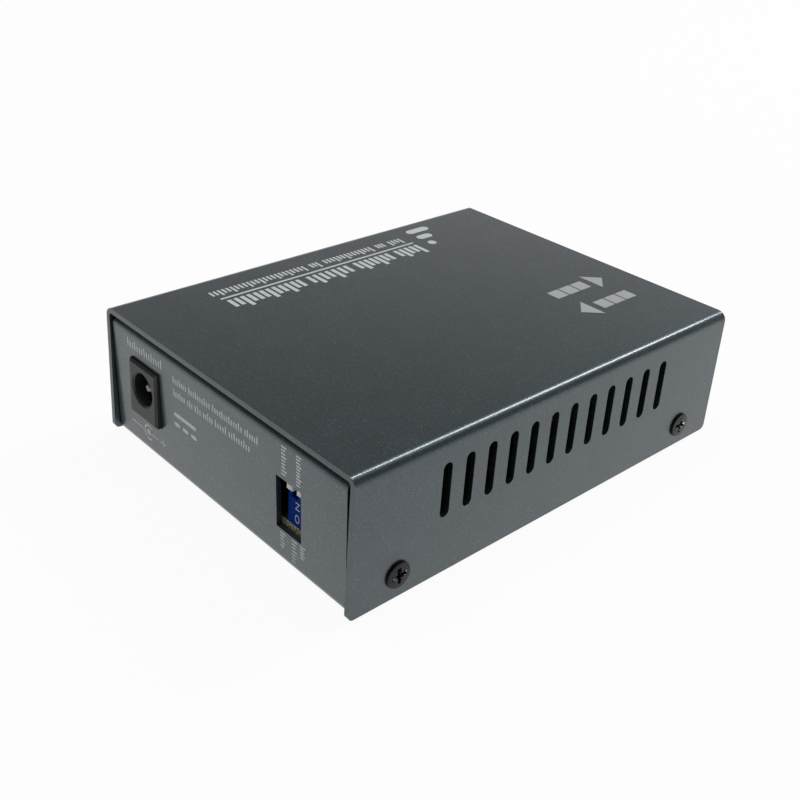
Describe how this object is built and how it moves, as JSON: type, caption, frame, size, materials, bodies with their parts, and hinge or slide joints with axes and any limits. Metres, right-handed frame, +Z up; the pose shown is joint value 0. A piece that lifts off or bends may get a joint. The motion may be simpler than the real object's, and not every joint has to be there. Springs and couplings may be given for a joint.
{
  "type": "fibre media converter",
  "caption": "Compact steel-cased fibre media converter: slotted folded cover, folded tray, rear power jack and slide switch, front copper port and fibre module slot.",
  "frame": {"origin": "middle of the tray's flat underside, at the middle of the housing's width and depth", "axes": "+X across the box, +Y from the rear panel (power jack, slide switch) to the front panel (network ports), +Z up"},
  "size_m": [0.0716, 0.0944, 0.0262],
  "materials": {
    "powder_coat": "fine metallic powder coat, dark grey, satin",
    "black_screw": "black oxide",
    "plated_steel": "bright zinc and nickel plate",
    "brass_contact": "plated spring contact",
    "black_plastic": "moulded, fine matt",
    "blue_plastic": "moulded, semi-gloss",
    "white_plastic": "moulded, semi-gloss",
    "board_laminate": "green solder mask on glass laminate",
    "lamp_lens": "tinted clear resin",
    "chip_package": "moulded epoxy",
    "sink_aluminium": "anodised",
    "ferrite": "sintered ferrite, dull",
    "ceramic": "fired ceramic"
  },
  "bodies": {
    "housing": {"cover": "powder_coat", "base_tray": "powder_coat", "cover_screws": "black_screw", "circuit_board": "board_laminate", "board_standoffs": "plated_steel", "board_screws": "plated_steel", "power_jack_housing": "black_plastic", "power_jack_pin": "plated_steel", "power_jack_spring": "plated_steel", "dip_switch_body": "blue_plastic", "dip_switch_pins": "plated_steel", "copper_port_housing": "black_plastic", "copper_port_shield": "plated_steel", "copper_port_contacts": "brass_contact", "sfp_cage": "plated_steel", "sfp_connector": "black_plastic", "led_holders": "black_plastic", "indicator_leds": "lamp_lens", "converter_chip": "chip_package", "chip_heat_sink": "sink_aluminium", "memory_chip": "chip_package", "crystal": "plated_steel", "lan_transformer": "chip_package", "pse_controller_chip": "chip_package", "ceramic_capacitors": "ceramic", "input_fuse": "ceramic", "filter_capacitors": "black_plastic", "common_mode_choke": "ferrite", "power_inductor": "ferrite", "power_transistor": "chip_package", "isolation_transformer_bobbin": "black_plastic", "isolation_transformer_core": "ferrite"},
    "slider_1": {"dip_slider_1": "white_plastic"},
    "slider_2": {"dip_slider_2": "white_plastic"}
  },
  "joints": [
    {"name": "switch_1_slide", "type": "slide", "parent": "housing", "child": "slider_1", "axis": [0, 0, -1], "range_m": [0, 0.002]},
    {"name": "switch_2_slide", "type": "slide", "parent": "housing", "child": "slider_2", "axis": [0, 0, -1], "range_m": [0, 0.002]}
  ]
}
